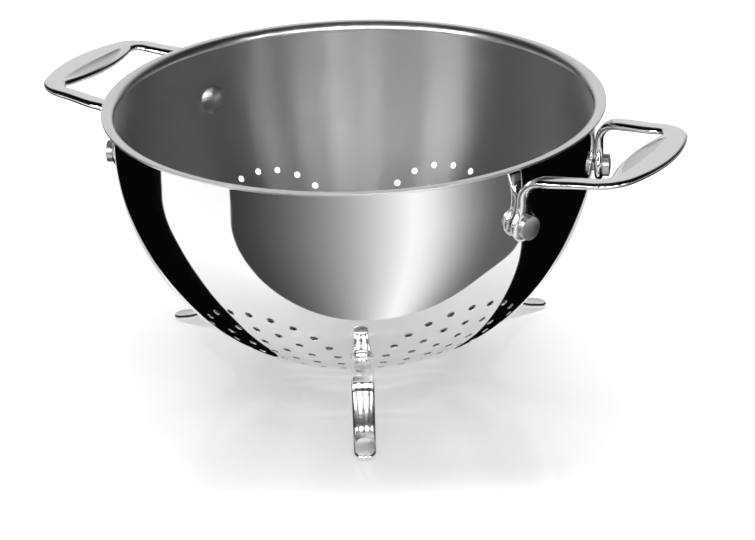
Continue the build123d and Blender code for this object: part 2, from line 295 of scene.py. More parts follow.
def fan_shade(tree):
    """Grey by the turn about the fan's centre."""
    place = add(tree, "TexCoord").outputs["Object"]
    moved = add(tree, "VectorMath", {0: place, 1: (-fan_centre[0] * mm, -fan_centre[1] * mm, 0)})
    share = add(tree, "MapRange", {
        "Value": height_and_turn(tree, moved.outputs[0])[1],
        "From Min": radians(fan_left), "From Max": radians(fan_right)})
    stops = []
    for way in np.arange(fan_steps) / fan_steps:
        stops.append(fan_stop(fan_left + (fan_peak - fan_left) * way,
                              fan_dark + (fan_bright - fan_dark) * way**climb_power))
    for way in np.arange(fan_steps + 1) / fan_steps:
        stops.append(fan_stop(fan_peak + (fan_right - fan_peak) * way,
                              fan_bright + (fan_dim - fan_bright) * way**2 * (3 - 2 * way)))
    return ramp(tree, share.outputs[0], stops)

# %% Lay the cards
black_level, rear_level = 0.002, 0.72
black = card_material("black_cloth", grey(black_level))
shaded = card_material("shaded_board", fan_shade)
grey_board = card_material("grey_board", grey(rear_level))
rear = card("rear_shaded_card", [
    (-120, 60), (-60, 120), (60, 120), (120, 60), (220, 150), (420, 420), (900, 900),
    (700, 1400), (-700, 1400), (-900, 900), (-420, 420), (-220, 150)], grey_board)
rear.location.z /= 2  # it lies under the other cards
card("left_black_card", [
    (-700, 60), (-420, 4), (-300, -20), (-200, -48), (-130, -57), (-78, -50), (-48, -28),
    (-62, 0), (-120, 28), (-152, 70), (-178, 120), (-195, 200), (-260, 420), (-700, 500)], black)
card("right_black_card", [
    (50, -6), (75, -28), (115, -47), (170, -64), (215, -80), (400, -170), (700, -330),
    (800, 300), (300, 420), (200, 200), (184, 120), (152, 70), (112, 35)], black)
card("front_shaded_card", [
    (-900, -560), (-345, -262), (-250, -204), (-150, -158), (-50, -130), (50, -119), (130, -110),
    (212, -84), (400, -174), (800, -380), (800, -1200), (0, -1500), (-900, -1200)], shaded)

# %% [markdown]
# Above the ground a tent of cloth goes round the whole set. It is pale behind the
# bowl, where the lip and the tops of the handles look, dark at the sides and over the
# crown, and in front it has seven narrow, bright, upright strips. The brushed inside
# blurs each strip up and down, and so they come out as the upright bands of light on
# its wall. The polished pieces show the same strips as thin bright lines.

# %% Tent
tent_radius = 2.4
tent_foot = radians(5)
tent_rows, tent_columns = 16, 72
tent_glow = 40.0
strip_half = 3
strips = ((-57, 30), (-44, 30), (-27, 20), (-10, 34), (8, 38), (26, 24), (49, 19))
back_level, side_level, gap_level = 0.79, 0.02, 0.05
tent_stops = [(-180, back_level), (-155, back_level), (-140, side_level)]
for middle, level in strips:
    tent_stops += [
        (middle - strip_half, gap_level), (middle, level), (middle + strip_half, gap_level)]
tent_stops += [(140, side_level), (155, back_level), (180, back_level)]
# heights as shares of the tent's radius, and turns as shares of a full turn
front_rise_stops = (
    (0.0, 0.03), (0.30, 0.03), (0.35, 1.0), (0.6, 1.0), (0.64, 0.012), (1.0, 0.012))
back_rise_stops = ((0.0, 1.0), (0.64, 1.0), (0.68, 0.03), (1.0, 0.03))
back_stops = ((0.0, 1.0), (0.1, 1.0), (0.13, 0.0), (0.87, 0.0), (0.9, 1.0), (1.0, 1.0))


def tent_shade(tree):
    """Grey by the turn about the bowl's axis and by the height, front and back apart."""
    height, turn = height_and_turn(tree, add(tree, "TexCoord").outputs["Object"])
    share = add(tree, "MapRange", {"Value": turn, "From Min": -pi, "From Max": pi})
    stops = [(0.5 + a / 360, level / tent_glow) for a, level in tent_stops]
    round_shade = ramp(tree, share.outputs[0], stops)
    rise = add(tree, "MapRange", {"Value": height, "From Max": tent_radius})
    front_rise = ramp(tree, rise.outputs[0], front_rise_stops)
    back_rise = ramp(tree, rise.outputs[0], back_rise_stops)
    at_back = ramp(tree, share.outputs[0], back_stops)
    crown_shade = add(tree, "MixRGB", {0: at_back, 1: front_rise, 2: back_rise}).outputs[0]
    both = add(tree, "VectorMath", {0: round_shade, 1: crown_shade}, operation="MULTIPLY")
    return both.outputs[0]


def band(low, high):
    """The faces between two rings of points."""
    count = len(low)
    return [(low[i], low[(i + 1) % count], high[(i + 1) % count], high[i]) for i in range(count)]


tent_material, tree = new_material("tent_cloth")
glow = add(tree, "Emission", {"Color": tent_shade(tree), "Strength": tent_glow})
add(tree, "OutputMaterial", {"Surface": glow.outputs[0]})
tent_mesh = bpy.data.meshes.new("tent")
bm = bmesh.new()
hoops = []
for row in range(tent_rows):
    rise = tent_foot + (pi / 2 - tent_foot) * row / tent_rows
    hoops.append([bm.verts.new((
        tent_radius * cos(rise) * sin(2 * pi * i / tent_columns),
        tent_radius * cos(rise) * cos(2 * pi * i / tent_columns),
        tent_radius * sin(rise))) for i in range(tent_columns)])
crown = bm.verts.new((0, 0, tent_radius))
for low, high in zip(hoops, hoops[1:]):
    for face in band(low, high):
        bm.faces.new(face)
for i in range(tent_columns):
    bm.faces.new((hoops[-1][i], hoops[-1][(i + 1) % tent_columns], crown))
bm.to_mesh(tent_mesh)
bm.free()
tent_mesh.materials.append(tent_material)
tent = new_object("tent", tent_mesh)
tent.matrix_world = studio
only_in_mirrors(tent)
print("tent:", len(tent_mesh.polygons), "faces")

# %% [markdown]
# ## The bowl
# The bowl starts as a flat round blank. A press draws it into a round belly with a
# small flat base, the lip is turned out, and the drain holes are punched. The mesh
# is made the same way. Its section is a chain of lines and arcs, the blank is a flat
# net of triangles with round windows in it, and a formula wraps the blank onto the
# section.

# %% The bowl's section
bowl_low, bowl_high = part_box("bowl")
lip_radius = bowl_high.x
lip_top = bowl_high.z
base_height = bowl_low.z
wall = 1.2 * mm
skin_radius = lip_radius - 5.3 * mm
lip_bend = 2.8 * mm
belly_radius = 116.3 * mm
belly_top = 124.0 * mm
base_blend = 20.0 * mm

belly_centre_r = skin_radius - belly_radius
blend_span = belly_radius - base_blend
blend_drop = belly_top - base_height - base_blend
base_flat = belly_centre_r + sqrt(blend_span**2 - blend_drop**2)
blend_angle = asin(blend_drop / blend_span)
flat_run = base_flat
blend_run = base_blend * (pi / 2 - blend_angle)
belly_run = belly_radius * blend_angle
skin_run = flat_run + blend_run + belly_run
print("sheet drawn into the belly, from the middle:", round(skin_run / mm, 1), "mm")


def skin(run):
    """Radius, height and normal (out, up) of the outer skin, a run along it from the middle."""
    run = np.asarray(run, float)
    blend = pi / 2 - (run - flat_run) / base_blend
    belly = (skin_run - run) / belly_radius
    on_flat = run < flat_run
    on_blend = ~on_flat & (run < flat_run + blend_run)
    angle = np.where(on_flat, pi / 2, np.where(on_blend, blend, belly))
    bend = np.where(on_blend, base_blend, belly_radius)
    centre_r = np.where(on_blend, base_flat, belly_centre_r)
    centre_z = np.where(on_blend, base_height + base_blend, belly_top)
    r = np.where(on_flat, run, centre_r + bend * np.cos(angle))
    z = np.where(on_flat, base_height, centre_z - bend * np.sin(angle))
    return r, z, np.cos(angle), -np.sin(angle)

# %% [markdown]
# The holes stand in six equal petals. Each petal has four arches, one inside the
# other, over straight columns that run down to the base, and three rings of holes
# round the middle finish the pattern. Marching along an arch in small steps and
# stopping at each full pitch spaces the holes as evenly as a punch does.

# %% Places of the drain holes
petals = 6
first_petal = radians(30)
hole_radius = 1.8 * mm
hole_pitch = 11.4 * mm
arch_step = 12.0 * mm
first_arch = 57.1 * mm
lowest_hole = 129.0 * mm
arches = ((22.4, 38.5), (14.0, 22.5), (6.6, 10.0), (0.0, 0.0))
base_rings = 3
march_turn = radians(0.25)
march_run = hole_pitch / 100
rivet_degrees = 20.5
rivet_height = 112 * mm
rivet_bore = 3.05 * mm
rivet_run = skin_run - belly_radius * asin((belly_top - rivet_height) / belly_radius)


def arch_holes(half_angle, height, top):
    """(turn, depth) of the holes of one arch, top first, then down both columns."""
    holes = [(0.0, top)]
    sweep, turn, depth = 0.0, 0.0, top
    while depth <= lowest_hole:
        if sweep < pi / 2 and half_angle > 0:
            sweep += march_turn
            turn = half_angle * sin(sweep)
            depth = top + height * (1 - cos(sweep))
        else:
            turn = half_angle
            depth = max(depth, top + height) + march_run
        r = belly_centre_r + belly_radius * cos(depth / belly_radius)
        if hypot((turn - holes[-1][0]) * r, depth - holes[-1][1]) >= hole_pitch:
            if depth <= lowest_hole:
                holes.append((turn, depth))
    return holes + [(-turn, depth) for turn, depth in holes if turn > 0]


holes = []
for petal in range(petals):
    middle = first_petal + 2 * pi * petal / petals
    for number, (half_degrees, height_mm) in enumerate(arches):
        top = first_arch + number * arch_step
        for turn, depth in arch_holes(radians(half_degrees), height_mm * mm, top):
            holes.append((skin_run - depth, middle + turn, hole_radius))
for ring in range(base_rings + 1):
    spokes = max(1, petals * ring)
    for spoke in range(spokes):
        holes.append((ring * hole_pitch, 2 * pi * spoke / spokes, hole_radius))
drain_holes = len(holes)
for degrees_round in (-rivet_degrees, rivet_degrees, 180 - rivet_degrees, 180 + rivet_degrees):
    holes.append((rivet_run, radians(degrees_round), rivet_bore))
print(drain_holes, "drain holes and", len(holes) - drain_holes, "rivet holes")

# %% [markdown]
# The blank is laid out flat, as the press gets it. Points round each hole and round
# the rim are fixed, rows of points fill the sheet between them, and a Delaunay net
# joins them all into triangles that are as even as they can be.

# %% The blank: a flat disc of triangles with round windows
rim_points = 360
row_gap = 3.6 * mm
hole_points = 24
edge_round = 0.3 * mm
hole_margin = 0.8 * mm
keep_inside, net_tolerance = 1, 1e-6


def blank(run, turn):
    """Place on the flat blank, in millimetres."""
    return np.stack([run * np.cos(turn), run * np.sin(turn)], -1) / mm


def swing(out, up, turn):
    """Points or normals, given as (out, up), turned about the axis."""
    return np.stack([out * np.cos(turn), out * np.sin(turn), up + 0 * turn], -1)


def on_skin(run, turn):
    """Points and normals on the outer skin."""
    r, z, out, up = skin(run)
    return swing(r, z, turn), swing(out, up, turn)


around = 2 * pi * np.arange(hole_points) / hole_points
ring_runs, ring_turns = [], []
hole_table = np.array(holes)
for run, turn, radius in holes:
    reach = radius + edge_round
    if run < flat_run:
        x = run * cos(turn) + reach * np.cos(around)
        y = run * sin(turn) + reach * np.sin(around)
        ring_runs.append(np.hypot(x, y))
        ring_turns.append(np.arctan2(y, x))
    else:
        ring_runs.append(run + reach * np.cos(around))
        ring_turns.append(turn + reach * np.sin(around) / float(skin(run)[0]))
ring_runs, ring_turns = np.concatenate(ring_runs), np.concatenate(ring_turns)

row_runs, row_turns = [], []
rows = int(skin_run / row_gap)
for row in range(1, rows):
    count = petals * row
    row_runs.append(np.full(count, skin_run * row / rows))
    row_turns.append(2 * pi * (np.arange(count) + 0.5 * (row % 2)) / count)
row_runs, row_turns = np.concatenate(row_runs), np.concatenate(row_turns)
row_points = on_skin(row_runs, row_turns)[0]
hole_centres, hole_normals = on_skin(hole_table[:, 0], hole_table[:, 1])
hole_room = hole_table[:, 2] + edge_round + hole_margin
clear = np.ones(len(row_points), bool)
for centre, reach in zip(hole_centres, hole_room):
    clear &= np.linalg.norm(row_points - centre, axis=1) > reach
row_runs, row_turns = row_runs[clear], row_turns[clear]

rim_turns = 2 * pi * np.arange(rim_points) / rim_points
all_runs = np.concatenate([ring_runs, np.full(rim_points, skin_run), row_runs])
all_turns = np.concatenate([ring_turns, rim_turns, row_turns])
flat_points = [Vector(p) for p in blank(all_runs, all_turns)]
edges = []
for hole in range(len(holes)):
    first = hole * hole_points
    edges += [(first + i, first + (i + 1) % hole_points) for i in range(hole_points)]
first_rim = len(holes) * hole_points
edges += [(first_rim + i, first_rim + (i + 1) % rim_points) for i in range(rim_points)]
net = delaunay_2d_cdt(flat_points, edges, [], keep_inside, net_tolerance)
print("blank:", len(flat_points), "points in,", len(net[0]), "points out,",
      len(net[2]), "triangles")

# %% [markdown]
# ## Wrapping the blank
# Each point of the flat net has a run from the middle and a turn about the axis, so
# it has one place on the outer skin and one on the inner skin, a wall's thickness
# away. Every hole joins the two nets with a short wall whose edge is slightly
# rounded, as punching and polishing leave it. The normals come from the formula and
# not from the triangles, and that keeps the mirror finish free of dents.

# %% Wrap the blank onto both skins
net_points = np.array(net[0]) * mm
net_runs = np.hypot(net_points[:, 0], net_points[:, 1])
net_turns = np.arctan2(net_points[:, 1], net_points[:, 0])
came_from = {old: new for new, olds in enumerate(net[3]) for old in olds}
triangles = np.array(net[2])
outside, outward = on_skin(net_runs, net_turns)
middle_of = outside[triangles].mean(axis=1)
inside_hole = np.zeros(len(triangles), bool)
for centre, radius in zip(hole_centres, hole_table[:, 2]):
    inside_hole |= np.linalg.norm(middle_of - centre, axis=1) < radius + edge_round
triangles = triangles[~inside_hole]
inside = outside - wall * outward
print("triangles left after punching:", len(triangles))

# %% Walls of the holes
point_parts = [outside, inside]
normal_parts = [outward, -outward]
run_parts = [net_runs, net_runs]
faces = [tuple(reversed(t)) for t in triangles]
skins = len(net_runs)
region = [0] * len(triangles)
faces += [tuple(int(i) + skins for i in t) for t in triangles]
region += [1] * len(triangles)
start = 2 * skins
for number, (run, _, radius) in enumerate(holes):
    centre, normal = Vector(hole_centres[number]), Vector(hole_normals[number])
    ring = [came_from[number * hole_points + i] for i in range(hole_points)]
    spin = []
    for index in ring:
        arm = Vector(outside[index]) - centre
        arm -= normal * arm.dot(normal)
        spin.append(arm.normalized())
    upper = [centre + s * radius - normal * edge_round for s in spin]
    lower = [centre + s * radius - normal * (wall - edge_round / 2) for s in spin]
    point_parts += [np.array(upper), np.array(lower)]
    normal_parts += [-np.array(spin)] * 2
    run_parts += [np.full(2 * hole_points, run)]
    foot = start + hole_points
    for i in range(hole_points):
        j = (i + 1) % hole_points
        faces += [(ring[j], ring[i], start + i, start + j),
                  (start + j, start + i, foot + i, foot + j),
                  (foot + j, foot + i, ring[i] + skins, ring[j] + skins)]
        region += [0, 0, 1]
    start += 2 * hole_points
print("points so far:", start, "faces:", len(faces))

# %% [markdown]
# Above the belly nothing is punched, so the wall and the lip are turned: one chain
# of points from the outer skin, round the lip's edge and back down the inner skin,
# spun about the axis.

# %% Turn the wall and the lip
lip_centre_r = skin_radius + lip_bend
lip_centre_z = lip_top - wall - lip_bend
rim_round = 0.3 * mm
wall_steps, under_steps, edge_steps, over_steps = 5, 10, 4, 12
chain = []


def chain_arc(centre_r, centre_z, radius, start, end, steps, side):
    """Adds points of an arc with normals; side is -1 for a centre outside the metal."""
    for step in range(steps + 1):
        angle = start + (end - start) * step / steps
        out, up = cos(angle), sin(angle)
        chain.append((centre_r + radius * out, centre_z + radius * up, side * out, side * up))


for step in range(wall_steps):
    height = belly_top + (lip_centre_z - belly_top) * step / wall_steps
    chain.append((skin_radius, height, 1, 0))
chain_arc(lip_centre_r, lip_centre_z, lip_bend, pi, pi / 2, under_steps, -1)
edge_r = lip_radius - rim_round
chain_arc(edge_r, lip_top - wall + rim_round, rim_round, -pi / 2, 0, edge_steps, 1)
chain_arc(edge_r, lip_top - rim_round, rim_round, 0, pi / 2, edge_steps, 1)
chain_arc(lip_centre_r, lip_centre_z, lip_bend + wall, pi / 2, pi, over_steps, 1)
for step in range(1, wall_steps + 1):
    height = lip_centre_z + (belly_top - lip_centre_z) * step / wall_steps
    chain.append((skin_radius - wall, height, -1, 0))

lap = np.array(chain)
point_parts += [swing(r, z, rim_turns) for r, z, _, _ in chain[1:-1]]
normal_parts += [swing(out, up, rim_turns) for _, _, out, up in chain[1:-1]]
lengths = np.cumsum(np.hypot(np.diff(lap[:, 0]), np.diff(lap[:, 1])))
run_parts += [np.repeat(skin_run + lengths[:-1], rim_points)]
rim_ring = [came_from[first_rim + i] for i in range(rim_points)]
rows_of_points = [rim_ring]
for row in range(len(chain) - 2):
    rows_of_points.append([start + row * rim_points + i for i in range(rim_points)])
rows_of_points.append([i + skins for i in rim_ring])
for row, (low, high) in enumerate(zip(rows_of_points, rows_of_points[1:])):
    on_lip = chain[row][1] > lip_centre_z and row > wall_steps
    part = 2 if on_lip else (0 if row <= wall_steps else 1)
    faces += band(low, high)
    region += [part] * rim_points
print("rows on the wall and lip:", len(chain))

# %% Join the bowl's mesh
points = np.concatenate(point_parts)
normals = np.concatenate(normal_parts)
runs = np.concatenate(run_parts)
bowl_mesh = bpy.data.meshes.new("pressed_bowl")
bowl_mesh.from_pydata(points.tolist(), [], [tuple(int(i) for i in f) for f in faces])
bowl_mesh.polygons.foreach_set("material_index", region)
bowl_mesh.polygons.foreach_set("use_smooth", [True] * len(faces))
run_values = bowl_mesh.attributes.new("run", "FLOAT", "POINT")
run_values.data.foreach_set("value", runs.astype(np.float32))
bowl_mesh.update()
bowl_mesh.normals_split_custom_set_from_vertices(normals.tolist())
pressed_bowl = new_object("pressed_bowl", bowl_mesh)
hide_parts("bowl")
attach(pressed_bowl, "root")
face_out = np.array([face.normal for face in bowl_mesh.polygons])
said_out = np.array([normals[list(face)].mean(axis=0) for face in faces])
print("faces turned the wrong way:", int((np.einsum("ij,ij->i", face_out, said_out) < 0).sum()))


def measure(name, bm):
    """Prints what a closed mesh is made of."""
    open_edges = sum(1 for edge in bm.edges if not edge.is_manifold)
    print(name, "has", len(bm.faces), "faces,", open_edges, "open edges,",
          round(bm.calc_volume() / mm**3), "cubic mm of steel")


bm = bmesh.new()
bm.from_mesh(bowl_mesh)
measure("bowl", bm)
bm.free()

# %% [markdown]
# ## Cast pieces
# A handle and a leg are castings: closed shapes with a soft edge all round. A pattern
# maker cuts such a shape flat, softens its edge and bends it, and so does this code.
# The outline gets rings of points that step inward over a quarter turn, which rounds
# the edge. A net of points fills the middle, each point gets an upper and a lower
# side, and a formula bends the cushion along the line of the piece.

# %% Curves for outlines
outline_gap = 1.0 * mm


def arc_run(centre, radius, start, end):
    """Points of an arc about a flat centre, one for each gap, without the last."""
    steps = max(2, int(abs(end - start) * radius / outline_gap))
    turns = start + (end - start) * np.arange(steps) / steps
    return np.stack([centre[0] + radius * np.cos(turns), centre[1] + radius * np.sin(turns)], -1)


def smooth_run(knots, first_way, last_way):
    """Points of a smooth curve through knots with given ways at its ends, without the last."""
    knots = np.array(knots, float)
    ways = np.gradient(knots, axis=0)
    ways[0] = np.array(first_way) * np.linalg.norm(knots[1] - knots[0])
    ways[-1] = np.array(last_way) * np.linalg.norm(knots[-1] - knots[-2])
    parts = []
    for p, q, way_p, way_q in zip(knots, knots[1:], ways, ways[1:]):
        steps = max(2, int(np.linalg.norm(q - p) / outline_gap))
        t = (np.arange(steps) / steps)[:, None]
        parts.append((2 * t**3 - 3 * t**2 + 1) * p + (t**3 - 2 * t**2 + t) * way_p
                     + (3 * t**2 - 2 * t**3) * q + (t**3 - t**2) * way_q)
    return np.concatenate(parts)


def ring_inward(outline, inset):
    """A closed outline that runs leftward round its metal, moved into the metal."""
    way = np.roll(outline, -1, axis=0) - np.roll(outline, 1, axis=0)
    way /= np.linalg.norm(way, axis=1)[:, None]
    return outline + inset * np.stack([-way[:, 1], way[:, 0]], -1)


def within(points, outline):
    """True for each point inside a closed outline."""
    x, y = points[:, :1], points[:, 1:]
    a, b = outline, np.roll(outline, -1, axis=0)
    crosses = (a[:, 1] > y) != (b[:, 1] > y)
    slope = (b[:, 0] - a[:, 0]) / np.where(a[:, 1] == b[:, 1], 1, b[:, 1] - a[:, 1])
    return (crosses & (x < a[:, 0] + (y - a[:, 1]) * slope)).sum(axis=1) % 2 == 1

# %% A cushion from an outline
soft_steps = 6
bore_points = 20
row_share, clear_share = 0.87, 0.6


def cushion(name, outline, soft, gap, sides, bend, dish=None, bores=()):
    """A closed soft-edged mesh over an outline.

    sides gives the depth of the upper and the lower side for points at a distance from
    the edge, bend places a point at a depth, dish is an outline with a finish of its
    own on the upper side, and bores are (centre, radius) of round holes.
    """
    insets = [soft * (1 - cos(pi / 2 * step / soft_steps)) for step in range(soft_steps + 1)]
    rings = [ring_inward(outline, inset) for inset in insets]
    edge_of = np.repeat(insets, len(outline))
    extra = [] if dish is None else [dish]
    bore_turns = 2 * pi * np.arange(bore_points) / bore_points
    for centre, radius in bores:
        extra.append(centre + radius * np.stack([np.cos(bore_turns), np.sin(bore_turns)], -1))
    low, high = outline.min(axis=0), outline.max(axis=0)
    columns, rows = ((high - low) / (gap, gap * row_share)).astype(int) + 2
    grid = np.array([(low[0] + (c + row % 2 / 2) * gap, low[1] + row * gap * row_share)
                     for row in range(rows) for c in range(columns)])
    fixed = np.concatenate(rings[-1:] + extra)
    grid = grid[within(grid, outline)]
    keep = np.ones(len(grid), bool)
    for point in fixed:
        keep &= np.hypot(*(grid - point).T) > clear_share * gap
    edge_away = np.min([np.hypot(*(grid - point).T) for point in outline], axis=0)
    keep &= edge_away > soft
    grid, edge_away = grid[keep], edge_away[keep]
    first = len(outline) * len(rings)
    flat = np.concatenate(rings + extra + [grid])
    edge_of = np.concatenate([edge_of] + [
        np.min([np.hypot(*(ring - point).T) for point in outline], axis=0) for ring in extra]
        + [edge_away])
    edges = [(i, (i + 1) % len(outline)) for i in range(len(outline))]
    starts = []
    for ring in extra:
        edges += [(first + i, first + (i + 1) % len(ring)) for i in range(len(ring))]
        starts.append(first)
        first += len(ring)
    flat_points = [Vector(p / mm) for p in flat]
    net = delaunay_2d_cdt(flat_points, edges, [], keep_inside, net_tolerance)
    new_of = {old: new for new, olds in enumerate(net[3]) for old in olds}
    order = [olds[0] for olds in net[3]]
    flat, edge_of = flat[order], edge_of[order]
    tris = np.array(net[2])
    middles = flat[tris].mean(axis=1)
    for centre, radius in bores:
        clear = np.hypot(*(middles - centre).T) > radius
        tris, middles = tris[clear], middles[clear]
    upper, lower = sides(flat, edge_of)
    on_edge = edge_of <= 0
    lower_at = np.where(on_edge, np.arange(len(flat)), len(flat) + np.arange(len(flat)))
    places = np.concatenate([bend(flat, upper), bend(flat, lower)])
    faces = [tuple(int(i) for i in t) for t in tris]
    finish = [0] * len(tris) if dish is None else [int(i) for i in within(middles, dish)]
    faces += [tuple(int(lower_at[i]) for i in reversed(t)) for t in tris]
    finish += [0] * len(tris)
    for start in starts[len(starts) - len(bores):]:
        ring = [new_of[start + i] for i in range(bore_points)]
        faces += band(ring, [int(lower_at[i]) for i in ring])
        finish += [0] * bore_points
    mesh = bpy.data.meshes.new(name)
    mesh.from_pydata(places.tolist(), [], faces)
    mesh.polygons.foreach_set("material_index", finish)
    bm = bmesh.new()
    bm.from_mesh(mesh)
    bmesh.ops.delete(bm, geom=[v for v in bm.verts if not v.link_faces], context="VERTS")
    bmesh.ops.recalc_face_normals(bm, faces=bm.faces)
    for edge in bm.edges:
        sides_of = [face.material_index for face in edge.link_faces]
        edge.smooth = len(set(sides_of)) == 1
    measure(name, bm)
    bm.to_mesh(mesh)
    bm.free()
    mesh.polygons.foreach_set("use_smooth", [True] * len(mesh.polygons))
    return mesh


def edge_share(edge_of, soft):
    """How far the sides have parted at a distance from the edge: a quarter ellipse."""
    return np.sqrt(np.clip(1 - (1 - np.clip(edge_of / soft, 0, 1)) ** 2, 0, 1))


def stand(name, mesh, node, degrees_round):
    """Puts a piece at its place round the axis, in place of its CAD node."""
    thing = new_object(name, mesh)
    thing.matrix_world = Matrix.Rotation(radians(degrees_round), 4, "Z")
    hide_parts(node)
    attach(thing, "root")
    return thing

# %% [markdown]
# ## Handles
# Each handle is one casting: two tabs flat on the bowl's wall, a bend, two arms and a
# broad grip that rises a little outward and thins towards its end. A shallow almond
# dish in the top shows where the thumb goes. The pattern is the handle unrolled: the
# tabs stand below the bend, so on the flat they point inward.

# %% The handle's line
handle_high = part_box("right_handle")[1]
seat_gap = 0.05 * mm
back_r = skin_radius + seat_gap
bend_radius = 12.5 * mm
bend_z = 125.3 * mm
tab_thick = 4.2 * mm
top_tilt = radians(4.6)
under_tilt = radians(5.9)
bend_r = back_r + bend_radius
bend_run = bend_radius * (pi / 2 - top_tilt)
bend_end_r = bend_r - bend_radius * sin(top_tilt)
thinning = np.tan(under_tilt) - np.tan(top_tilt)


def handle_flat(x, y):
    """Place on the flat pattern for a place in plan beyond the wall."""
    r, turn = hypot(x, y), atan2(y, x)
    if r < bend_end_r:
        run = bend_radius * acos(min(1.0, (bend_r - r) / bend_radius))
    else:
        run = bend_run + (r - bend_end_r) / cos(top_tilt)
    return ((back_r + run) * cos(turn), (back_r + run) * sin(turn))


def tab_flat(across, up):
    """Place on the flat pattern for a place on a tab, measured from its rivet."""
    run = back_r + rivet_height + up - bend_z
    turn = radians(rivet_degrees) + across / (back_r + tab_thick)
    return (run * cos(turn), run * sin(turn))


def handle_bend_up(flat, depth):
    """Bends the flat pattern: up the wall, round the bend, out along the grip."""
    run = np.hypot(flat[:, 0], flat[:, 1]) - back_r
    around = np.arctan2(flat[:, 1], flat[:, 0])
    turned = np.clip(run / bend_radius, 0, pi / 2 - top_tilt)
    out, up = -np.cos(turned), np.sin(turned)
    below, beyond = np.minimum(run, 0), np.maximum(run - bend_run, 0)
    r = bend_r + bend_radius * out + beyond * cos(top_tilt) - depth * out
    z = bend_z + bend_radius * up + below + beyond * sin(top_tilt) - depth * up
    return swing(r, z, around)

# %% The handle's outline
edge_lean = 0.15 * mm  # the tilted edge's middle stands this much farther out than its top
grip_reach = handle_high.x - edge_lean
grip_arc, grip_half, grip_corner = 92 * mm, 44.8 * mm, 20 * mm
window_edge, window_bow = 150.4 * mm, 115 * mm
window_half, window_corner = 34.8 * mm, 4.5 * mm
arm_x, arm_out, arm_in = 127 * mm, 47.0 * mm, 37.0 * mm
neck_half, neck_up = 3.6 * mm, 14.0 * mm
tab_radius, flank = 7.9 * mm, radians(40)

arc_centre = grip_reach - grip_arc
corner_y = grip_half - grip_corner
corner_x = arc_centre + sqrt((grip_arc - grip_corner) ** 2 - corner_y**2)
corner_turn = atan2(corner_y, corner_x - arc_centre)
window_y = window_half - window_corner
bow_centre = window_edge + window_bow
window_x = bow_centre - sqrt((window_bow + window_corner) ** 2 - window_y**2)
bow_turn = asin(window_y / (window_bow + window_corner))
back = (cos(radians(rivet_degrees)), sin(radians(rivet_degrees)))
away = (-back[0], -back[1])

grip_curve = np.concatenate([
    arc_run((arc_centre, 0), grip_arc, 0, corner_turn),
    arc_run((corner_x, corner_y), grip_corner, corner_turn, pi / 2)])
window_curve = np.concatenate([
    arc_run((window_x, window_y), window_corner, pi / 2, -bow_turn),
    arc_run((bow_centre, 0), window_bow, pi - bow_turn, pi)])
tab_sides = [
    smooth_run([(neck_half, neck_up), (tab_radius * cos(flank), tab_radius * sin(flank))],
               (0, -1), (sin(flank), -cos(flank))),
    arc_run((0, 0), tab_radius, flank, -pi - flank),
    smooth_run([(-tab_radius * cos(flank), tab_radius * sin(flank)), (-neck_half, neck_up)],
               (sin(flank), cos(flank)), (0, 1))]
out_neck, in_neck = tab_flat(neck_half, neck_up), tab_flat(-neck_half, neck_up)
half_outline = np.concatenate([
    [handle_flat(x, y) for x, y in grip_curve],
    smooth_run([handle_flat(corner_x, grip_half), handle_flat(arm_x, arm_out), out_neck],
               (-1, 0), away),
    [tab_flat(u, v) for u, v in np.concatenate(tab_sides)],
    smooth_run([in_neck, handle_flat(arm_x, arm_in), handle_flat(window_x, window_half)],
               back, (1, 0)),
    [handle_flat(x, y) for x, y in window_curve],
    [handle_flat(window_edge, 0)]])
handle_outline = np.concatenate([half_outline, (half_outline * (1, -1))[-2:0:-1]])
print("handle's outline:", len(handle_outline), "points")

# %% The thumb dish
dish_tips = window_edge + 8.4 * mm
dish_points = 40
dish_half = 27.5 * mm
dish_inner, dish_outer, dish_depth = 6.4 * mm, 1.7 * mm, 0.8 * mm
dish_share = 0.97


def dish_edges(y):
    """The dish's inner and outer edge at a place along it."""
    bow = np.clip(1 - (y / dish_half) ** 2, 0, 1)
    return dish_tips - dish_inner * bow, dish_tips + dish_outer * bow


dish_y = dish_half * dish_share * np.sin(np.linspace(-pi / 2, pi / 2, dish_points))
dish_in, dish_out = dish_edges(dish_y)
dish_outline = np.array(
    [handle_flat(x, y) for x, y in zip(dish_out, dish_y)]
    + [handle_flat(x, y) for x, y in zip(dish_in[-2:0:-1], dish_y[-2:0:-1])])

# %% Both handles
handle_soft, handle_gap = 2.6 * mm, 1.5 * mm
crown, crown_reach = 0.3 * mm, 9 * mm


def handle_sides(flat, edge_of):
    """Depths of the handle's upper and lower side, with the crown and the dish."""
    run = np.hypot(flat[:, 0], flat[:, 1]) - back_r
    beyond = np.maximum(run - bend_run, 0)
    thick = tab_thick - beyond * thinning
    share = edge_share(edge_of, handle_soft)
    drop = np.where(run > 0, crown * (1 - np.clip(edge_of / crown_reach, 0, 1)) ** 2, 0)
    upper = thick / 2 - (thick / 2 - drop) * share
    turn = np.arctan2(flat[:, 1], flat[:, 0])
    r = bend_end_r + beyond * cos(top_tilt)
    x, y = r * np.cos(turn), r * np.sin(turn)
    inner, outer = dish_edges(y)
    across = (x - inner) / np.maximum(outer - inner, 0.01 * mm)
    hollow = np.where((across > 0) & (across < 1) & (beyond > 0), 4 * across * (1 - across), 0)
    taper = np.sqrt(np.clip(1 - (y / dish_half) ** 2, 0, 1))
    return upper + dish_depth * hollow * taper, thick / 2 + thick / 2 * share


rivet_bores = [(np.array(tab_flat(0, 0)) * (1, side), rivet_bore) for side in (1, -1)]
handle_mesh = cushion("cast_handle", handle_outline, handle_soft, handle_gap, handle_sides,
                      handle_bend_up, dish_outline, rivet_bores)
for node, turn in (("right_handle", 0), ("left_handle", 180)):
    stand("cast_" + node, handle_mesh, node, turn)

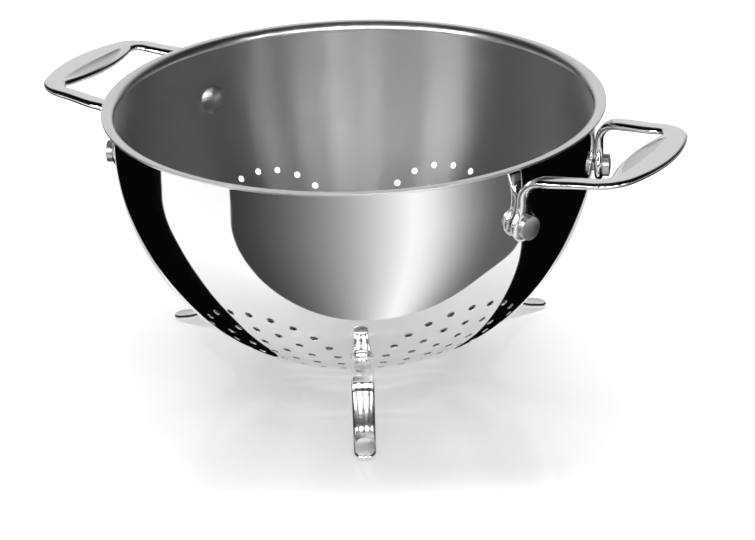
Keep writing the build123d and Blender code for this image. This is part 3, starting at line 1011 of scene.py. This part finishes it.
# %% [markdown]
# ## Legs
# A leg is a cast strap. Its pad lies on the belly, where it is welded, the knee turns
# it out and down, and the ankle lays the toe on the floor. The toe has an oval dish
# with a raised rim. The back is trimmed by two things it touches: the belly and the
# floor.

# %% The leg's line
pad_thick = 2.6 * mm
pad_r = belly_radius + pad_thick
pad_top, pad_foot = radians(41.5), radians(49)
knee_bend, ankle_bend = 9 * mm, 24 * mm
toe_slope, toe_thick = radians(14), 2.4 * mm
toe_reach = -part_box("left_leg")[0].x
ankle_reach = 105.5 * mm
belly_centre = (belly_centre_r, belly_top)
bend_steps, toe_steps = 60, 40


def below(centre, radius, angle):
    """Point of a circle in the leg's upright plane, the angle below the horizontal."""
    return (centre[0] + radius * cos(angle), centre[1] - radius * sin(angle))


knee = below(belly_centre, pad_r + knee_bend, pad_foot)
ankle_foot = (ankle_reach, toe_thick + (toe_reach - ankle_reach) * np.tan(toe_slope))
ankle = (ankle_foot[0] + ankle_bend * sin(toe_slope), ankle_foot[1] + ankle_bend * cos(toe_slope))
span = (ankle[0] - knee[0], ankle[1] - knee[1])
lean = acos((ankle_bend - knee_bend) / hypot(*span)) + atan2(span[1], span[0])
line = [below(belly_centre, pad_r, a) for a in np.linspace(pad_top, pad_foot, bend_steps)]
line += [below(knee, knee_bend, a) for a in np.linspace(pad_foot + pi, pi - lean, bend_steps)[1:]]
strap_foot = below(ankle, ankle_bend, pi - lean)
line += list(np.linspace(line[-1], strap_foot, bend_steps)[1:])
line += [below(ankle, ankle_bend, a)
         for a in np.linspace(pi - lean, pi / 2 + toe_slope, bend_steps)[1:]]
line += list(np.linspace(line[-1], (toe_reach, toe_thick), toe_steps)[1:])
line = np.array(line)
line_run = np.concatenate([[0], np.cumsum(np.hypot(*np.diff(line, axis=0).T))])
leg_run = line_run[-1]
line_way = np.gradient(line, line_run, axis=0)
line_way /= np.linalg.norm(line_way, axis=1)[:, None]
print("leg along its face:", round(leg_run / mm, 1), "mm")


def leg_bend_down(flat, depth):
    """Lays the flat strap along the leg's line, then trims it at the belly and the floor."""
    run, across = flat[:, 0], flat[:, 1]
    r = np.interp(run, line_run, line[:, 0])
    z = np.interp(run, line_run, line[:, 1])
    way_r = np.interp(run, line_run, line_way[:, 0])
    way_z = np.interp(run, line_run, line_way[:, 1])
    x, z = r + depth * way_z, z - depth * way_r
    out = np.hypot(x, across)
    from_belly = np.hypot(out - belly_centre_r, z - belly_top)
    seat = belly_radius + seat_gap
    push = np.where((from_belly < seat) & (z > base_height), seat / from_belly, 1)
    new_out = belly_centre_r + (out - belly_centre_r) * push
    z = belly_top + (z - belly_top) * push
    return np.stack([x * new_out / out, across * new_out / out, np.maximum(z, 0)], -1)

# %% The legs
top_half, toe_half = 5.8 * mm, 5.6 * mm
leg_thick, leg_crown, leg_soft = 3.6 * mm, 0.6 * mm, 1.2 * mm
leg_gap = 1.1 * mm
oval_across, oval_along, oval_deep = 9.4 * mm / 2, 12.4 * mm / 2, 0.9 * mm
toe_rim = 1.6 * mm
leg_outline = np.concatenate([
    arc_run((top_half, 0), top_half, pi / 2, 3 * pi / 2),
    smooth_run([(top_half, -top_half), (leg_run - toe_half, -toe_half)], (1, 0), (1, 0)),
    arc_run((leg_run - toe_half, 0), toe_half, -pi / 2, pi / 2),
    smooth_run([(leg_run - toe_half, toe_half), (top_half, top_half)], (-1, 0), (-1, 0))])
toe_middle = leg_run - toe_rim - oval_along
oval_power = 2.6
oval_points = 60
oval_turns = 2 * pi * np.arange(oval_points) / oval_points
along, across = np.cos(oval_turns), np.sin(oval_turns)
oval = np.stack([
    toe_middle + oval_along * np.sign(along) * np.abs(along) ** (2 / oval_power),
    oval_across * np.sign(across) * np.abs(across) ** (2 / oval_power)], -1)


def leg_sides(flat, edge_of):
    """Depths of the strap's face and back, with its crown and the toe's dish."""
    share = edge_share(edge_of, leg_soft)
    drop = leg_crown * (flat[:, 1] / toe_half) ** 2
    upper = leg_thick / 2 - (leg_thick / 2 - np.minimum(drop, leg_thick / 2)) * share
    oval_place = (np.abs((flat[:, 0] - toe_middle) / oval_along) ** oval_power
                  + np.abs(flat[:, 1] / oval_across) ** oval_power)
    upper = upper + oval_deep * np.clip(1 - oval_place, 0, 1)
    return upper, leg_thick / 2 + leg_thick / 2 * share


leg_mesh = cushion("cast_leg", leg_outline, leg_soft, leg_gap, leg_sides, leg_bend_down, oval)
for node, turn in (("rear_leg", 60), ("left_leg", 180), ("front_leg", 300)):
    stand("cast_" + node, leg_mesh, node, turn)

# %% [markdown]
# ## Finishes
# Stainless steel reflects most of the light and is slightly warm. The outside is
# buffed to a mirror, with faint waves that the press left. The inside is brushed round
# the axis: fine scratches spread each highlight up and down the wall, and the shader
# does that with anisotropy along the turning direction. The inside's steel has a
# darker colour than the same steel on the lip: that is painted shade, because light
# that bounces on in the bowl adds up.

# %% Mirror finish
def noise(tree, place, size):
    """Soft noise of a (scale, detail)."""
    return add(tree, "TexNoise", {"Vector": place, "Scale": size[0], "Detail": size[1]}).outputs[0]


def steel(tree, colour, smears, haze, inputs):
    """Ends a material with steel whose roughness follows the smears between two values."""
    rough = add(tree, "MapRange", {"Value": smears, "To Min": haze[0], "To Max": haze[1]})
    metal = add(tree, "BsdfPrincipled", {
        "Base Color": colour, "Metallic": 1.0, "Roughness": rough.outputs[0], **inputs})
    add(tree, "OutputMaterial", {"Surface": metal.outputs[0]})


def buffed(name, colour, waves, swell, smears, haze):
    """Buffed steel: waves that swell by a (strength, depth), and haze in smears."""
    material, tree = new_material(name)
    place = add(tree, "TexCoord").outputs["Object"]
    bump = add(tree, "Bump", {
        "Height": noise(tree, place, waves), "Strength": swell[0], "Distance": swell[1]})
    steel(tree, colour, noise(tree, place, smears), haze, {"Normal": bump.outputs[0]})
    return material


mirror = buffed("mirror_steel", (0.8, 0.79, 0.785, 1), waves=(45.0, 2.0), swell=(0.02, 0.001),
                smears=(220.0, 4.0), haze=(0.03, 0.07))

# %% Brushed finish
grain_round, grain_up = 1.6, 4200.0
haze_low, haze_high = 0.85, 1.15
scratch_depth, quarter_turn = 0.0001, 0.25


def brushed(name, colour, roughness, anisotropy, depth):
    """Steel brushed round the bowl's axis: the grain is long round it and short up it."""
    material, tree = new_material(name)
    place = add(tree, "TexCoord").outputs["Object"]
    flat = add(tree, "VectorMath", {0: place, 1: (1, 1, 0)}, operation="MULTIPLY")
    turn = add(tree, "VectorMath", {0: flat.outputs[0]}, operation="NORMALIZE")
    spread = add(tree, "VectorMath", {0: turn.outputs[0], "Scale": grain_round}, operation="SCALE")
    run = add(tree, "Attribute", attribute_name="run").outputs["Fac"]
    up = add(tree, "CombineXYZ", {"Z": math(tree, "MULTIPLY", run, grain_up)})
    grain_at = add(tree, "VectorMath", {0: spread.outputs[0], 1: up.outputs[0]})
    grain = noise(tree, grain_at.outputs[0], (1.0, 3.0))
    scratches = add(tree, "Bump", {"Height": grain, "Strength": depth, "Distance": scratch_depth})
    tangent = add(tree, "Tangent", direction_type="RADIAL", axis="Z")
    steel(tree, colour, grain, (roughness * haze_low, roughness * haze_high), {
        "Anisotropic": anisotropy, "Anisotropic Rotation": quarter_turn,
        "Normal": scratches.outputs[0], "Tangent": tangent.outputs[0]})
    return material


# painted shade: the inside's colour is darker than the lip's, though both are the same steel
inside_steel_painted_darker = brushed("brushed_steel_painted_darker", (0.56, 0.545, 0.55, 1), 0.5, 0.97, 0.3)
lip_steel = brushed("satin_lip", (0.8, 0.79, 0.78, 1), 0.32, 0.4, 0.1)
for material in (mirror, inside_steel_painted_darker, lip_steel):
    bowl_mesh.materials.append(material)

# %% [markdown]
# The castings are ground and buffed, but less than the bowl: the buffing leaves soft
# waves and a fine haze. The dishes of the thumbs and toes keep the satin of a finer
# wheel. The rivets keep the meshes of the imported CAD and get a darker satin.

# %% Cast finishes
cast = buffed("cast_polished_steel", (0.8, 0.79, 0.78, 1), waves=(160.0, 3.0),
              swell=(0.03, 0.0008), smears=(160.0, 3.0), haze=(0.12, 0.2))
satin_dish = brushed("satin_dish", (0.7, 0.69, 0.69, 1), 0.3, 0.3, 0.08)
for mesh in (handle_mesh, leg_mesh):
    mesh.materials.append(cast)
    mesh.materials.append(satin_dish)
rivet_satin = brushed("satin_rivet", (0.55, 0.54, 0.54, 1), 0.36, 0.0, 0.08)
for name, node in nodes.items():
    if "rivet" in name:
        node.material_slots[0].material = rivet_satin

# %% [markdown]
# ## View transform
# A product shot on white keeps the plain view transform.

# %% View transform
bpy.context.scene.view_settings.view_transform = "Standard"
